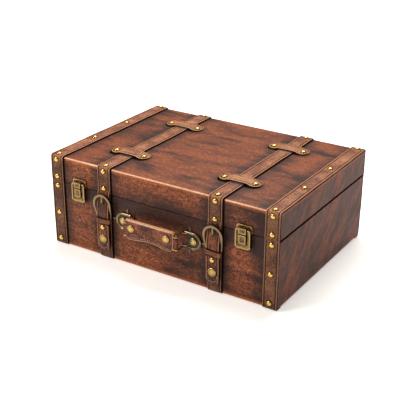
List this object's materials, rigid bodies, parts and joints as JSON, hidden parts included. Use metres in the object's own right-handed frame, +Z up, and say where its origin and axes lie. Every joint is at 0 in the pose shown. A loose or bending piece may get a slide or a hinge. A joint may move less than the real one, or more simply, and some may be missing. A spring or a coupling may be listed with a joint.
{
  "type": "suitcase",
  "caption": "Small rectangular suitcase: wooden box covered in antiqued leather, hinged lid, studded straps with buckled tails, lever latches and a leather grip on wire rings.",
  "frame": {"origin": "centre of the footprint, on the underside that the case rests on", "axes": "+X to the right along the front, front at -Y, +Z up towards the lid"},
  "size_m": [0.4, 0.3175, 0.1547],
  "materials": {
    "board_wood": "plain sawn board, unfinished",
    "covering_leather": "antiqued leather, pebbled, rubbed at the edges",
    "lining_cloth": "plain woven lining cloth",
    "bottom_cloth": "dark felted sheet",
    "strap_leather": "antiqued strap leather, stitched along its edges",
    "keeper_leather": "antiqued leather with a tooled border",
    "handle_leather": "antiqued leather, stitched, rubbed on the roll",
    "stud_brass": "polished brass, darkened at the rim",
    "rivet_brass": "aged brass",
    "buckle_brass": "satin antique brass",
    "antique_bronze": "antique bronze, bright on its raised rims",
    "ring_metal": "antique bronze wire",
    "nail_steel": "dull steel"
  },
  "bodies": {
    "base": {"base_bottom_panel": "board_wood", "base_front_board": "board_wood", "base_back_board": "board_wood", "base_left_board": "board_wood", "base_right_board": "board_wood", "base_lining": "lining_cloth", "base_covering": "covering_leather", "bottom_sheet": "bottom_cloth", "base_strap_left": "strap_leather", "base_edge_band_left": "strap_leather", "base_strap_right": "strap_leather", "base_edge_band_right": "strap_leather", "base_studs": "stud_brass", "snap_studs": "rivet_brass", "latch_base_plates": "antique_bronze", "latch_pins": "antique_bronze", "handle_chapes": "handle_leather", "handle_plates": "antique_bronze", "plate_rivets": "rivet_brass", "base_nails": "nail_steel", "hinge_pins": "antique_bronze", "hinge_base_leaves": "antique_bronze"},
    "lid": {"lid_top_panel": "board_wood", "lid_front_board": "board_wood", "lid_back_board": "board_wood", "lid_left_board": "board_wood", "lid_right_board": "board_wood", "lid_lining": "lining_cloth", "lid_covering": "covering_leather", "lid_strap_left": "strap_leather", "lid_edge_band_left": "strap_leather", "lid_strap_right": "strap_leather", "lid_edge_band_right": "strap_leather", "lid_studs": "stud_brass", "top_keepers_left": "keeper_leather", "top_keepers_right": "keeper_leather", "latch_catches": "antique_bronze", "lid_nails": "nail_steel", "hinge_lid_leaves": "antique_bronze"},
    "handle": {"grip_rivets": "rivet_brass", "handle_grip": "handle_leather"},
    "tail_left": {"tail_strap_left": "strap_leather", "tail_chape_left": "strap_leather", "buckle_frame_left": "buckle_brass", "buckle_prong_left": "buckle_brass", "tail_keeper_left": "strap_leather", "tail_rivet_left": "rivet_brass", "snap_cap_left": "rivet_brass"},
    "lever_left": {"latch_lever_left": "antique_bronze"},
    "ring_left": {"handle_ring_left": "ring_metal"},
    "tail_right": {"tail_strap_right": "strap_leather", "tail_chape_right": "strap_leather", "buckle_frame_right": "buckle_brass", "buckle_prong_right": "buckle_brass", "tail_keeper_right": "strap_leather", "tail_rivet_right": "rivet_brass", "snap_cap_right": "rivet_brass"},
    "lever_right": {"latch_lever_right": "antique_bronze"},
    "ring_right": {"handle_ring_right": "ring_metal"}
  },
  "joints": [
    {"name": "lid_hinge", "type": "hinge", "parent": "base", "child": "lid", "pos_m": [0, 0.1448, 0.1085], "axis": [-1, 0, 0], "range_deg": [0, 150]},
    {"name": "tail_left_hinge", "type": "hinge", "parent": "lid", "child": "tail_left", "pos_m": [-0.098, -0.1453, 0.1114], "axis": [-1, 0, 0], "range_deg": [0, 80]},
    {"name": "lever_left_hinge", "type": "hinge", "parent": "base", "child": "lever_left", "pos_m": [-0.14525, -0.1468, 0.0885], "axis": [1, 0, 0], "range_deg": [0, 110]},
    {"name": "tail_right_hinge", "type": "hinge", "parent": "lid", "child": "tail_right", "pos_m": [0.098, -0.1453, 0.1114], "axis": [-1, 0, 0], "range_deg": [0, 80]},
    {"name": "lever_right_hinge", "type": "hinge", "parent": "base", "child": "lever_right", "pos_m": [0.14525, -0.1468, 0.0885], "axis": [1, 0, 0], "range_deg": [0, 110]},
    {"name": "ring_left_swing", "type": "hinge", "parent": "base", "child": "ring_left", "pos_m": [-0.0455, -0.1449, 0.0727], "axis": [0, 0, 1], "range_deg": [-30, 30]},
    {"name": "handle_swing", "type": "hinge", "parent": "ring_left", "child": "handle", "pos_m": [-0.0455, -0.1634, 0.0727], "axis": [0, 0, 1], "range_deg": [-30, 30]},
    {"name": "ring_right_swing", "type": "hinge", "parent": "base", "child": "ring_right", "pos_m": [0.0455, -0.1449, 0.0727], "axis": [0, 0, 1], "range_deg": [-30, 30]}
  ],
  "couplings": [
    {"joint": "handle_swing", "follows": "ring_left_swing", "ratio": -1},
    {"joint": "ring_right_swing", "follows": "ring_left_swing", "ratio": 1}
  ]
}
